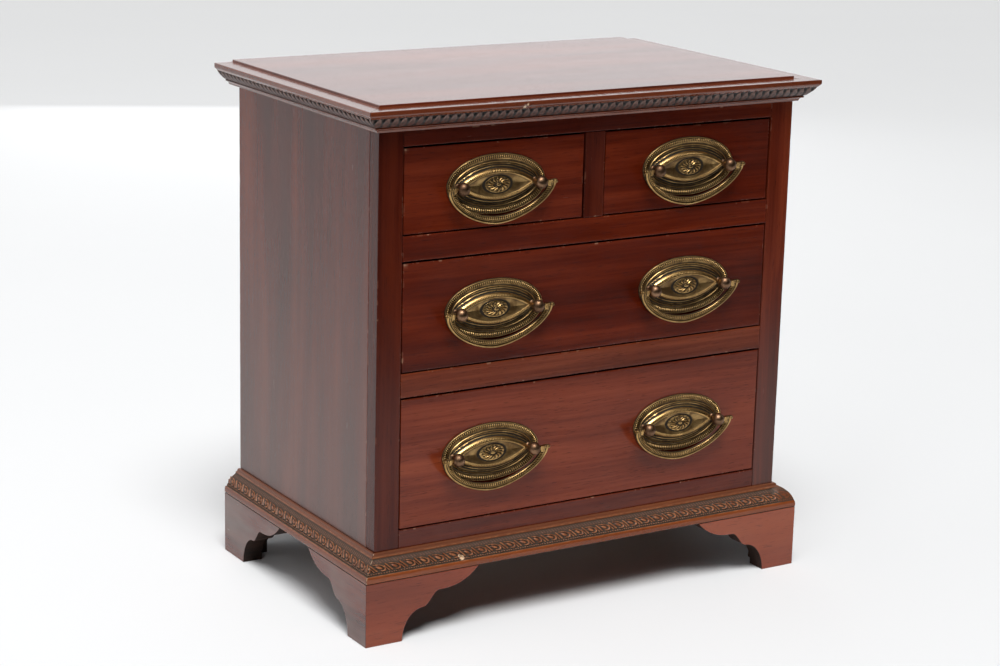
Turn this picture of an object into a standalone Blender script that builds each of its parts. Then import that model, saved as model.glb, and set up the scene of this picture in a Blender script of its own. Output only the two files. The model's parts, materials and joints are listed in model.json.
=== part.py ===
"""Miniature chest of drawers: two short drawers over two long ones, on mitred bracket feet.

Metres, +Z up. The origin is on the ground under the middle of the whole chest, +X runs to the
right as one faces the drawers and -Y runs out of their fronts.
"""

import math

import bmesh
import bpy
from mathutils import Matrix

# Carcase
CARCASE_WIDTH = 0.346
CARCASE_DEPTH = 0.216
FRONT_Y = -0.1065            # plane of the carcase's face
SIDE_THICKNESS = 0.019       # also the width of the stiles
STILE_DEPTH = 0.0124         # facing strips glued over the front edges of the sides
RAIL_DEPTH = 0.030
BACK_THICKNESS = 0.008
DUST_BOARD_THICKNESS = 0.008
BOTTOM_THICKNESS = 0.012
DIVIDER_WIDTH = 0.0163
EDGE_ROUND = 0.0004          # softened arrises of boards and drawer fronts
JOINT_GAP = 0.0003           # glue line between two pieces that touch

# Heights above the ground
BASE_Z = 0.0465              # top of the feet, bottom of the base moulding
BASE_MOULDING_TOP = 0.0646
LOWER_OPENING = (0.0769, 0.1726)
UPPER_OPENING = (0.1897, 0.2686)
SHORT_OPENING = (0.2862, 0.3478)
CORNICE_Z = 0.3588
CORNICE_TOP = 0.3755
TOP_Z = 0.3770

# Overhangs past the carcase
CORNICE_PROJECTION = 0.0145
TOP_REAR_OVERHANG = 0.0115
BASE_PROJECTION = 0.0125

# Bracket feet
FOOT_THICKNESS = 0.0095
FOOT_PAD_FRONT = 0.029       # length of the pad under a front bracket
FOOT_PAD_SIDE = 0.027
FOOT_PAD_REAR = 0.033
FOOT_ROOT_LENGTH = 0.0616    # run of the shaped edge beyond the pad
REAR_BRACKET_LENGTH = 0.048
GLUE_BLOCK = 0.015

# Drawers
DRAWER_LENGTH = 0.196
DRAWER_FRONT_THICKNESS = 0.014
DRAWER_SIDE_THICKNESS = 0.007
DRAWER_BOTTOM_THICKNESS = 0.004
DRAWER_BOTTOM_LIFT = 0.003
DRAWER_SIDE_DROP = 0.004     # the sides stand this much lower than the front
DRAWER_GAP_SIDE = 0.0007
DRAWER_GAP_BOTTOM = 0.0005
DRAWER_GAP_TOP = 0.0012
LONG_DRAWER_RECESS = 0.0003
SHORT_DRAWER_RECESS = 0.0010

# Bail handles, measured from the middle of the plate
HANDLE_X = 0.0808
PLATE_HALF_WIDTH = 0.0395
PLATE_HALF_HEIGHT = 0.02125
BOSS_HALF_WIDTH = 0.0285
BOSS_HALF_HEIGHT = 0.0120
POST_X = 0.031
BALL_RADIUS = 0.0047
PIVOT_REACH = 0.0093         # ball centre in front of the drawer face
SHANK_RADIUS = 0.0015
SHANK_HOLE_RADIUS = 0.0019
PIN_RADIUS = 0.0010
PIN_HOLE_RADIUS = 0.0014
PIN_HOLE_DEPTH = 0.0034
BAIL_OUTER = (0.0435, 0.0287, 1.7)   # half width, drop, roundness exponent
BAIL_INNER = (0.0368, 0.0224, 1.85)
BAIL_THICKNESS = 0.0022
BAIL_TILT = math.radians(12.0)       # the bail leans back against its plate

WOOD = (0.23, 0.060, 0.028)
WOOD_PALE = (0.33, 0.17, 0.085)
BRASS = (0.42, 0.31, 0.12)

SIDES = {"left": -1, "right": 1}
BACK_Y = FRONT_Y + CARCASE_DEPTH
INNER_X = CARCASE_WIDTH / 2 - SIDE_THICKNESS


def clear_scene():
    for item in list(bpy.data.objects):
        bpy.data.objects.remove(item, do_unlink=True)


def new_collection(name):
    collection = bpy.data.collections.new(name)
    bpy.context.scene.collection.children.link(collection)
    return collection


def make_material(name, colour, roughness, metallic):
    material = bpy.data.materials.new(name)
    material.use_nodes = True
    shader = material.node_tree.nodes["Principled BSDF"]
    shader.inputs["Base Color"].default_value = (*colour, 1.0)
    shader.inputs["Roughness"].default_value = roughness
    shader.inputs["Metallic"].default_value = metallic
    material.diffuse_color = (*colour, 1.0)
    return material


clear_scene()
PARTS = new_collection("chest_of_drawers")
CUTTERS = new_collection("cutters")


def finish_part(item, colour, roughness, metallic=0.0):
    """Gives a sub-part its own material."""
    item.data.materials.clear()
    item.data.materials.append(make_material(item.name, colour, roughness, metallic))
    return item


def finish_wood(item, pale=False):
    return finish_part(item, WOOD_PALE if pale else WOOD, 0.6 if pale else 0.35)


def finish_brass(item):
    item.data.shade_smooth()
    item.data.set_sharp_from_angle(angle=math.radians(35))
    return finish_part(item, BRASS, 0.35, 1.0)


def link_mesh(name, mesh, collection=None):
    item = bpy.data.objects.new(name, mesh)
    (collection or PARTS).objects.link(item)
    return item


def box(name, low, high, collection=None):
    """A box between two corners, with its origin at its middle."""
    size = [b - a for a, b in zip(low, high)]
    middle = [(a + b) / 2 for a, b in zip(low, high)]
    mesh = bpy.data.meshes.new(name)
    cube = bmesh.new()
    bmesh.ops.create_cube(cube, size=1.0, matrix=Matrix.Diagonal((*size, 1.0)))
    cube.to_mesh(mesh)
    cube.free()
    item = link_mesh(name, mesh, collection)
    item.location = middle
    return item


def board(name, low, high, edge=EDGE_ROUND):
    """A wooden board: a box with softened arrises."""
    item = box(name, low, high)
    bevel = item.modifiers.new("arris", "BEVEL")
    bevel.width = edge
    bevel.segments = 1
    return item


def cutter(item):
    item.hide_render = True
    item.display_type = "WIRE"
    return item


def boolean(item, other, operation):
    step = item.modifiers.new(operation.lower(), "BOOLEAN")
    step.object = other
    step.operation = operation
    cutter(other)


def cylinder(name, radius, length, sides, matrix, collection=None):
    mesh = bpy.data.meshes.new(name)
    rod = bmesh.new()
    bmesh.ops.create_cone(rod, cap_ends=True, segments=sides, radius1=radius, radius2=radius,
                          depth=length, matrix=matrix)
    rod.to_mesh(mesh)
    rod.free()
    return link_mesh(name, mesh, collection)


def outline_mesh(name, outline, thickness):
    """Mesh of a flat outline in XY, extruded half its thickness to each side of Z = 0."""
    curve = bpy.data.curves.new(name + "_outline", "CURVE")
    curve.dimensions = "2D"
    curve.fill_mode = "BOTH"
    curve.extrude = thickness / 2
    spline = curve.splines.new("POLY")
    spline.points.add(len(outline) - 1)
    for point, (x, y) in zip(spline.points, outline):
        point.co = (x, y, 0.0, 1.0)
    spline.use_cyclic_u = True
    source = bpy.data.objects.new(name + "_outline", curve)
    bpy.context.scene.collection.objects.link(source)
    evaluated = source.evaluated_get(bpy.context.evaluated_depsgraph_get())
    mesh = bpy.data.meshes.new_from_object(evaluated)
    mesh.name = name
    shape = bmesh.new()
    shape.from_mesh(mesh)
    bmesh.ops.remove_doubles(shape, verts=shape.verts, dist=1e-6)
    bmesh.ops.recalc_face_normals(shape, faces=shape.faces)
    shape.to_mesh(mesh)
    shape.free()
    bpy.data.objects.remove(source, do_unlink=True)
    return mesh


def turned_mesh(name, profile, steps):
    """Mesh of a profile of (radius, height) points, listed top to bottom, turned about Z."""
    mesh = bpy.data.meshes.new(name + "_profile")
    line = bmesh.new()
    points = [line.verts.new((radius, 0.0, height)) for radius, height in profile]
    for first, second in zip(points, points[1:]):
        line.edges.new((first, second))
    line.to_mesh(mesh)
    line.free()
    source = bpy.data.objects.new(name + "_profile", mesh)
    bpy.context.scene.collection.objects.link(source)
    screw = source.modifiers.new("turn", "SCREW")
    screw.axis = "Z"
    screw.steps = steps
    screw.render_steps = steps
    screw.use_merge_vertices = True
    screw.merge_threshold = 1e-6
    evaluated = source.evaluated_get(bpy.context.evaluated_depsgraph_get())
    turned = bpy.data.meshes.new_from_object(evaluated)
    turned.name = name
    bpy.data.objects.remove(source, do_unlink=True)
    return turned


def arc(centre, radius, start, end, steps):
    """Points of a circular arc, angles in degrees."""
    points = []
    for k in range(steps + 1):
        angle = math.radians(start + (end - start) * k / steps)
        points.append((centre[0] + radius * math.cos(angle), centre[1] + radius * math.sin(angle)))
    return points


# Mouldings -------------------------------------------------------------------------------

def cornice_profile():
    """(projection, height) of the cornice: bed mould, carved slope and a square-faced nose."""
    nose_round = 0.0010
    nose_foot = 0.0130
    nose = (CORNICE_PROJECTION - nose_round, CORNICE_TOP - nose_round)
    lower = [
        (JOINT_GAP, CORNICE_Z),
        (0.0026, CORNICE_Z),
        (0.0032, CORNICE_Z + 0.0012),
        (0.0055, CORNICE_Z + 0.0038),
        (0.0065, CORNICE_Z + 0.0054),
        (0.0100, CORNICE_Z + 0.0078),
        (0.0118, CORNICE_Z + 0.0108),
        (CORNICE_PROJECTION, CORNICE_Z + nose_foot),
    ]
    return lower + arc(nose, nose_round, 0, 90, 4) + [(JOINT_GAP, CORNICE_TOP)]


def base_profile():
    """(projection, height) of the base moulding: plain band, torus and a small top bead."""
    torus_radius = 0.0094
    torus = (BASE_PROJECTION - 0.0008 - torus_radius, BASE_Z + 0.0063)
    return [
        (JOINT_GAP, BASE_Z),
        (BASE_PROJECTION, BASE_Z),
        (BASE_PROJECTION, BASE_Z + 0.0041),
        (BASE_PROJECTION - 0.0004, BASE_Z + 0.0055),
        *arc(torus, torus_radius, 0, 80, 5),
        (0.0028, BASE_MOULDING_TOP - 0.0022),
        (0.0022, BASE_MOULDING_TOP - 0.0006),
        (0.0012, BASE_MOULDING_TOP),
        (JOINT_GAP, BASE_MOULDING_TOP),
    ]


def moulding(name, profile, length, mitres, matrix):
    """A length of moulding along local Z, its back near X = 0, mitred where mitres is 1."""
    mesh = outline_mesh(name, profile, length)
    for vertex in mesh.vertices:
        end = 0 if vertex.co.z < 0 else 1
        outward = -1 if end == 0 else 1
        vertex.co.z += outward * mitres[end] * vertex.co.x
    mesh.transform(matrix)
    if matrix.determinant() < 0:
        mesh.flip_normals()
    return finish_wood(link_mesh(name, mesh))


def moulding_set(prefix, profile, front_y, back_y):
    """Front strip and two side strips, mitred at the front corners."""
    half = CARCASE_WIDTH / 2
    across = Matrix(((0, 0, 1, 0), (-1, 0, 0, front_y), (0, 1, 0, 0), (0, 0, 0, 1)))
    moulding(f"{prefix}_front", profile, CARCASE_WIDTH, (1, 1), across)
    run = back_y - front_y - JOINT_GAP
    middle = (back_y + front_y + JOINT_GAP) / 2
    for side, sign in SIDES.items():
        along = Matrix(((sign, 0, 0, sign * half), (0, 0, -1, middle), (0, 1, 0, 0), (0, 0, 0, 1)))
        moulding(f"{prefix}_{side}", profile, run, (0, 1), along)


# Bracket feet ----------------------------------------------------------------------------

def bracket_outline(pad):
    """Face of a bracket: pad, cove, small step and a long ogee up to the carcase."""
    top = BASE_Z - JOINT_GAP
    cove_centre = (pad + 0.017, 0.0)
    cove_rise = 0.0225
    points = [(0.0, 0.0), (pad, 0.0)]
    for k in range(1, 6):
        angle = math.radians(180 - 18 * k)
        points.append((cove_centre[0] + 0.017 * math.cos(angle), cove_rise * math.sin(angle)))
    step_foot = pad + 0.017
    for k in range(1, 5):
        t = k / 4
        points.append((step_foot + 0.0125 * t, cove_rise + 0.0108 * (3 * t * t - 2 * t ** 3)))
    ogee_start = step_foot + 0.0125
    ogee_run = pad + FOOT_ROOT_LENGTH - ogee_start
    ogee_rise = top - cove_rise - 0.0108
    for k in range(1, 7):
        t = k / 6
        points.append((ogee_start + ogee_run * t, cove_rise + 0.0108 + ogee_rise * t ** 2.6))
    return points + [(0.0, top)]


def plain_bracket_outline(length):
    """Face of the hidden rear bracket: pad and a straight slope up to the carcase."""
    top = BASE_Z - JOINT_GAP
    return [(0.0, 0.0), (length * 0.5, 0.0), (length, top * 0.8), (length, top), (0.0, top)]


def foot(name, x_sign, y_sign, corner, x_outline, y_outline):
    """Two brackets meeting at an outer corner and a glue block, joined into one foot."""
    def place(mesh, matrix):
        mesh.transform(matrix)
        if matrix.determinant() < 0:
            mesh.flip_normals()

    half = FOOT_THICKNESS / 2
    x, y = corner
    face = outline_mesh(name, x_outline, FOOT_THICKNESS)
    place(face, Matrix(((-x_sign, 0, 0, x), (0, 0, -y_sign, y - y_sign * half), (0, 1, 0, 0),
                        (0, 0, 0, 1))))
    item = link_mesh(name, face)
    side = outline_mesh(name + "_side_bracket", y_outline, FOOT_THICKNESS)
    place(side, Matrix(((0, 0, -x_sign, x - x_sign * half), (-y_sign, 0, 0, y), (0, 1, 0, 0),
                        (0, 0, 0, 1))))
    boolean(item, link_mesh(side.name, side, CUTTERS), "UNION")
    inner = FOOT_THICKNESS * 0.5
    outer = FOOT_THICKNESS + GLUE_BLOCK
    lift = 0.0015
    block_corners = [(x - x_sign * inner, y - y_sign * inner, lift),
                     (x - x_sign * outer, y - y_sign * outer, BASE_Z - JOINT_GAP - lift)]
    low = [min(pair) for pair in zip(*block_corners)]
    high = [max(pair) for pair in zip(*block_corners)]
    boolean(item, box(name + "_glue_block", low, high, CUTTERS), "UNION")
    return finish_wood(item)


def feet():
    for side, sign in SIDES.items():
        front_corner = (sign * (CARCASE_WIDTH / 2 + BASE_PROJECTION), FRONT_Y - BASE_PROJECTION)
        foot(f"foot_front_{side}", sign, -1, front_corner,
             bracket_outline(FOOT_PAD_FRONT), bracket_outline(FOOT_PAD_SIDE))
        rear_corner = (sign * (CARCASE_WIDTH / 2 + BASE_PROJECTION), BACK_Y)
        foot(f"foot_rear_{side}", sign, 1, rear_corner,
             plain_bracket_outline(REAR_BRACKET_LENGTH), bracket_outline(FOOT_PAD_REAR))


# Carcase ---------------------------------------------------------------------------------

def carcase():
    half = CARCASE_WIDTH / 2
    carcase_top = CORNICE_Z - JOINT_GAP
    back_face = BACK_Y - BACK_THICKNESS
    for side, sign in SIDES.items():
        xs = sorted((sign * half, sign * INNER_X))
        finish_wood(board(f"side_{side}", (xs[0], FRONT_Y + STILE_DEPTH + JOINT_GAP, BASE_Z),
                          (xs[1], BACK_Y, carcase_top)))
        finish_wood(board(f"stile_{side}", (xs[0], FRONT_Y, BASE_Z),
                          (xs[1], FRONT_Y + STILE_DEPTH, carcase_top)))
    finish_wood(board("top_board", (-half, FRONT_Y, CORNICE_Z),
                      (half, BACK_Y + TOP_REAR_OVERHANG, TOP_Z), 0.0006))
    reach = INNER_X - JOINT_GAP
    finish_wood(board("back_panel", (-reach, back_face, BASE_Z), (reach, BACK_Y, carcase_top)),
                pale=True)
    rails = {
        "rail_top": (SHORT_OPENING[1], carcase_top),
        "rail_upper": (UPPER_OPENING[1], SHORT_OPENING[0]),
        "rail_middle": (LOWER_OPENING[1], UPPER_OPENING[0]),
        "rail_bottom": (BASE_Z, LOWER_OPENING[0]),
    }
    for name, (low, high) in rails.items():
        finish_wood(board(name, (-reach, FRONT_Y, low), (reach, FRONT_Y + RAIL_DEPTH, high)))
    shelves = {
        "dust_board_upper": (SHORT_OPENING[0], DUST_BOARD_THICKNESS),
        "dust_board_middle": (UPPER_OPENING[0], DUST_BOARD_THICKNESS),
        "bottom_board": (LOWER_OPENING[0], BOTTOM_THICKNESS),
    }
    for name, (top, thickness) in shelves.items():
        low = (-reach, FRONT_Y + RAIL_DEPTH + JOINT_GAP, top - thickness)
        finish_wood(board(name, low, (reach, back_face - JOINT_GAP, top)), pale=True)
    divider = DIVIDER_WIDTH / 2
    finish_wood(board("drawer_divider", (-divider, FRONT_Y, SHORT_OPENING[0] + JOINT_GAP),
                      (divider, back_face - JOINT_GAP, SHORT_OPENING[1] - JOINT_GAP)))


# Handles ---------------------------------------------------------------------------------

def plate_mesh(name):
    """Oval back plate with a rolled rim, a dished field and a raised pointed boss."""
    rim = [(0.0, 0.0012), (0.80, 0.0012), (0.88, 0.0019), (0.95, 0.0021), (1.0, 0.0012),
           (1.0, 0.0), (0.0, 0.0)]
    mesh = turned_mesh(name, rim, 28)
    mesh.transform(Matrix.Diagonal((PLATE_HALF_WIDTH, PLATE_HALF_HEIGHT, 1.0, 1.0)))
    return mesh


def boss_mesh(name):
    dome = [(0.0, 0.0056), (0.30, 0.0052), (0.45, 0.0034), (0.70, 0.0040), (1.0, 0.0008),
            (0.0, 0.0008)]
    mesh = turned_mesh(name, dome, 16)
    mesh.transform(Matrix.Diagonal((BOSS_HALF_WIDTH, BOSS_HALF_HEIGHT, 1.0, 1.0)))
    return mesh


def post_mesh(name):
    """Ball-headed post with a collar, a shank through plate and drawer, and its round nut."""
    neck = 0.0021
    collar = 0.0034
    nut_front = -DRAWER_FRONT_THICKNESS - JOINT_GAP
    nut_back = nut_front - 0.0026
    neck_angle = -math.degrees(math.acos(neck / BALL_RADIUS))
    ball = arc((0.0, PIVOT_REACH), BALL_RADIUS, 60, neck_angle, 5)
    profile = [(0.0, PIVOT_REACH + BALL_RADIUS), *ball, (neck, 0.0042), (collar, 0.0038),
               (collar, 0.0026), (SHANK_RADIUS, 0.0026), (SHANK_RADIUS, nut_front),
               (collar, nut_front), (collar, nut_back), (SHANK_RADIUS, nut_back),
               (SHANK_RADIUS, nut_back - 0.0016), (0.0, nut_back - 0.0016)]
    return turned_mesh(name, profile, 12)


def bail_curve(shape, steps):
    """Half ring below the pivot from +X round to -X, as a superellipse."""
    half_width, drop, exponent = shape
    points = []
    for k in range(steps + 1):
        angle = math.pi * k / steps
        c, s = math.cos(angle), math.sin(angle)
        points.append((half_width * math.copysign(abs(c) ** (2 / exponent), c),
                       -drop * abs(s) ** (2 / exponent)))
    return points


def bail_outline():
    """Crescent with square ends that stand a little above the pivot."""
    end_rise = 0.0013
    outer = bail_curve(BAIL_OUTER, 20)
    inner = bail_curve(BAIL_INNER, 16)[::-1]
    return ([(BAIL_OUTER[0], end_rise)] + outer + [(-BAIL_OUTER[0], end_rise)]
            + [(-BAIL_INNER[0], end_rise)] + inner + [(BAIL_INNER[0], end_rise)])


FACE_FORWARD = Matrix(((1, 0, 0, 0), (0, 0, -1, 0), (0, 1, 0, 0), (0, 0, 0, 1)))


def pivot_rod(name, sign, radius, inner, outer, sides):
    """Rod along X through the pivot line on one side of a handle."""
    middle = Matrix.Translation((sign * (inner + outer) / 2, 0.0, 0.0))
    lay_down = Matrix.Rotation(math.pi / 2, 4, "Y")
    return cylinder(name, radius, outer - inner, sides, middle @ lay_down, CUTTERS)


def handle(name, x, z, face_y):
    """Plate, two posts and a swinging bail, centred on x, z in front of a drawer face."""
    seat = Matrix.Translation((x, face_y - JOINT_GAP, z)) @ FACE_FORWARD
    plate = link_mesh(f"{name}_plate", plate_mesh(f"{name}_plate"))
    plate.matrix_world = seat
    boss = link_mesh(f"{name}_boss", boss_mesh(f"{name}_boss"), CUTTERS)
    boss.matrix_world = seat
    boolean(plate, boss, "UNION")
    pivot = bpy.data.objects.new(f"{name}_pivot", None)
    PARTS.objects.link(pivot)
    pivot.location = (x, face_y - PIVOT_REACH, z)
    bail = link_mesh(f"{name}_bail", outline_mesh(f"{name}_bail", bail_outline(), BAIL_THICKNESS))
    bail.parent = pivot
    bail.matrix_basis = Matrix.Rotation(BAIL_TILT, 4, "X") @ FACE_FORWARD
    for side, sign in SIDES.items():
        spot = Matrix.Translation((x + sign * POST_X, face_y, z)) @ FACE_FORWARD
        post = link_mesh(f"{name}_post_{side}", post_mesh(f"{name}_post_{side}"))
        post.matrix_world = spot
        hole = cylinder(f"{name}_hole_{side}", SHANK_HOLE_RADIUS, 0.02, 12, spot, CUTTERS)
        boolean(plate, hole, "DIFFERENCE")
        hole_floor = POST_X + BALL_RADIUS - PIN_HOLE_DEPTH
        socket = pivot_rod(f"{name}_socket_{side}", sign, PIN_HOLE_RADIUS, hole_floor,
                           POST_X + 2 * BALL_RADIUS, 12)
        socket.location = pivot.location
        boolean(post, socket, "DIFFERENCE")
        pin = pivot_rod(f"{name}_pin_{side}", sign, PIN_RADIUS, hole_floor + JOINT_GAP,
                        BAIL_INNER[0] + 0.002, 8)
        pin.location = pivot.location
        boolean(bail, pin, "UNION")
        finish_brass(post)
    finish_brass(plate)
    finish_brass(bail)


# Drawers ---------------------------------------------------------------------------------

def drawer(name, x_low, x_high, opening, recess, handles):
    """Front board, a U-shaped frame of sides and back, a bottom board and its handles."""
    left = x_low + DRAWER_GAP_SIDE
    right = x_high - DRAWER_GAP_SIDE
    low = opening[0] + DRAWER_GAP_BOTTOM
    high = opening[1] - DRAWER_GAP_TOP
    face_y = FRONT_Y + recess
    front_back = face_y + DRAWER_FRONT_THICKNESS
    front = board(f"{name}_front", (left, face_y, low), (right, front_back, high))
    handle_z = (opening[0] + opening[1]) / 2
    for label, x in handles.items():
        handle(f"handle_{label}", x, handle_z, face_y)
        for side, sign in SIDES.items():
            spot = Matrix.Translation((x + sign * POST_X, front_back, handle_z)) @ FACE_FORWARD
            hole = cylinder(f"{name}_{label}_hole_{side}", SHANK_HOLE_RADIUS, 0.05, 12, spot,
                            CUTTERS)
            boolean(front, hole, "DIFFERENCE")
    finish_wood(front)

    length = DRAWER_LENGTH - DRAWER_FRONT_THICKNESS - JOINT_GAP
    wall = DRAWER_SIDE_THICKNESS
    width = right - left
    frame = [(0, 0), (wall, 0), (wall, length - wall), (width - wall, length - wall),
             (width - wall, 0), (width, 0), (width, length), (0, length)]
    frame_low = low
    frame_high = high - DRAWER_SIDE_DROP
    mesh = outline_mesh(f"{name}_box", frame, frame_high - frame_low)
    mesh.transform(Matrix.Translation((left, front_back + JOINT_GAP, (frame_low + frame_high) / 2)))
    finish_wood(link_mesh(f"{name}_box", mesh), pale=True)

    inset = wall + JOINT_GAP
    floor = low + DRAWER_BOTTOM_LIFT
    finish_wood(board(f"{name}_bottom", (left + inset, front_back + 2 * JOINT_GAP, floor),
                      (right - inset, front_back + length - wall, floor + DRAWER_BOTTOM_THICKNESS),
                      0.0002), pale=True)


def drawers():
    inner = DIVIDER_WIDTH / 2
    drawer("drawer_short_left", -INNER_X, -inner, SHORT_OPENING, SHORT_DRAWER_RECESS,
           {"short_left": -HANDLE_X})
    drawer("drawer_short_right", inner, INNER_X, SHORT_OPENING, SHORT_DRAWER_RECESS,
           {"short_right": HANDLE_X})
    drawer("drawer_upper", -INNER_X, INNER_X, UPPER_OPENING, LONG_DRAWER_RECESS,
           {"upper_left": -HANDLE_X, "upper_right": HANDLE_X})
    drawer("drawer_lower", -INNER_X, INNER_X, LOWER_OPENING, LONG_DRAWER_RECESS,
           {"lower_left": -HANDLE_X, "lower_right": HANDLE_X})


carcase()
moulding_set("cornice", cornice_profile(), FRONT_Y, BACK_Y + TOP_REAR_OVERHANG)
moulding_set("base_moulding", base_profile(), FRONT_Y, BACK_Y)
feet()
drawers()
bpy.context.view_layer.update()
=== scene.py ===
"""Looks of the miniature chest of drawers: carved mouldings, worn boards, stamped brass handles,
dovetailed drawer boxes, polished mahogany, a pale floor and soft studio light.

Metres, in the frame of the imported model: +X right, -Y out of the drawer fronts, +Z up. Profiles
and reliefs are drawn in millimetres and scaled by MM.
"""

import json
import math

import bpy
import numpy as np
from mathutils import Matrix, Vector

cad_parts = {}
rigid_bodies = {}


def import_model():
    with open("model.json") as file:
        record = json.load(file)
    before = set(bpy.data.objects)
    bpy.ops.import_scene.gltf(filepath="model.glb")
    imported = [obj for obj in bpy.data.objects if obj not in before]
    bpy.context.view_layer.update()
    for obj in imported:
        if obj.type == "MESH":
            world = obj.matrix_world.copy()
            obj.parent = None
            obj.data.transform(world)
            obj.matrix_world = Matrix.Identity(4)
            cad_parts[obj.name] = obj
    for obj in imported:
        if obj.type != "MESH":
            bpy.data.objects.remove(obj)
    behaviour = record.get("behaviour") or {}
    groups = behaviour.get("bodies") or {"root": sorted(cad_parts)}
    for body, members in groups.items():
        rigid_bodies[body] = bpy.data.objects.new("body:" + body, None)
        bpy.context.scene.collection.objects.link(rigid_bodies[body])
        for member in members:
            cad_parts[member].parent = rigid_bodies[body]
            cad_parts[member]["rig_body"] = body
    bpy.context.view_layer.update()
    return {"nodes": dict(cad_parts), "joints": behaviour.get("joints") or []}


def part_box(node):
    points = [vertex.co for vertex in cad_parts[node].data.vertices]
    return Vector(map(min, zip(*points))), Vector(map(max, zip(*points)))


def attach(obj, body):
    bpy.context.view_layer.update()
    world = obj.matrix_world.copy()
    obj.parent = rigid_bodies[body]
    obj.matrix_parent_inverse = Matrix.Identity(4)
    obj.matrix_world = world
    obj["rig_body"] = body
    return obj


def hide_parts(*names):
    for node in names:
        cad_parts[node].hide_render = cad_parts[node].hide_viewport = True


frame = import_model()

MM = 0.001
SIDES = {"left": -1, "right": 1}

# Places taken from the frame
STILE_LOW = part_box("stile_left")[0]
FACE_Y = STILE_LOW.y                         # plane of the carcase's face
CARCASE_HALF = -STILE_LOW.x
BACK_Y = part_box("side_left")[1].y
TOP_REAR_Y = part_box("top_board")[1].y
JOINT_GAP = 0.3 * MM

# Turns a handle's parts, drawn lying on their backs, to face out of the drawer front
BRASS_FORWARD = Matrix(((1, 0, 0, 0), (0, 0, -1, 0), (0, 1, 0, 0), (0, 0, 0, 1)))


# Mesh tools ------------------------------------------------------------------------------

def build_mesh(name, vertices, faces, sharp=40.0, values=None):
    """A smooth-shaded mesh; values are named numbers per vertex that the materials read."""
    mesh = bpy.data.meshes.new(name)
    faces = faces.tolist() if isinstance(faces, np.ndarray) else faces
    mesh.from_pydata(np.asarray(vertices, float).tolist(), [], faces)
    mesh.shade_smooth()
    mesh.set_sharp_from_angle(angle=math.radians(sharp))
    for key, numbers in (values or {}).items():
        layer = mesh.attributes.new(key, "FLOAT", "POINT")
        layer.data.foreach_set("value", np.asarray(numbers, np.float32).ravel())
    return mesh


def add_object(name, data):
    item = bpy.data.objects.new(name, data)
    bpy.context.scene.collection.objects.link(item)
    return item


def add_piece(name, mesh, material, body, nodes=(), matrix=None):
    """Puts a piece in place on its body, standing for the CAD nodes it replaces."""
    item = add_object(name, mesh)
    if matrix is not None:
        item.matrix_world = matrix
    if not mesh.materials:
        mesh.materials.append(material)
    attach(item, body)
    if nodes:
        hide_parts(*nodes)
    return item


def tube_faces(rows, columns, flipped=False):
    """Faces of a closed tube: rows of vertices, the last joined to the first, and two caps."""
    r, c = np.meshgrid(np.arange(rows - 1), np.arange(columns), indexing="ij")
    after = (c + 1) % columns
    walls = np.stack([r * columns + c, r * columns + after, (r + 1) * columns + after,
                      (r + 1) * columns + c], -1).reshape(-1, 4)
    caps = [np.arange(columns)[::-1], np.arange((rows - 1) * columns, rows * columns)]
    turn = -1 if flipped else 1
    return walls[:, ::turn].tolist() + [cap[::turn].tolist() for cap in caps]


def wobble(points, wavelength, seed):
    """Smooth repeatable unevenness, mostly between -1 and 1, with features of that size."""
    draw = np.random.default_rng(seed)
    total = np.zeros(len(points))
    for _ in range(9):
        direction = draw.normal(size=3)
        direction *= 2 * math.pi * draw.uniform(0.6, 1.6) / wavelength / np.linalg.norm(direction)
        total += np.sin(points @ direction + draw.uniform(0, 2 * math.pi))
    return total / 3.5


def smooth_step(x, low, high):
    t = np.clip((x - low) / (high - low), 0, 1)
    return t * t * (3 - 2 * t)


def window(x, start, full, fading, end):
    """0 up to start, 1 from full to fading, 0 again from end."""
    return smooth_step(x, start, full) * (1 - smooth_step(x, fading, end))


def relief_shade(height, reach, depth, wrap):
    """How far each grid point lies below and above its neighbourhood: (cavity, ridge)."""
    blurred = height.copy()
    for axis in (0, 1):
        total = np.zeros_like(blurred)
        for shift in range(-reach, reach + 1):
            moved = np.roll(blurred, shift, axis)
            if not (wrap and axis == 1) and shift:
                edge = slice(0, shift) if shift > 0 else slice(shift, None)
                index = [slice(None)] * 2
                index[axis] = edge
                moved[tuple(index)] = blurred[tuple(index)]
            total += moved
        blurred = total / (2 * reach + 1)
    return (np.clip((blurred - height) / depth, 0, 1), np.clip((height - blurred) / depth, 0, 1))


# Materials -------------------------------------------------------------------------------

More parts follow.
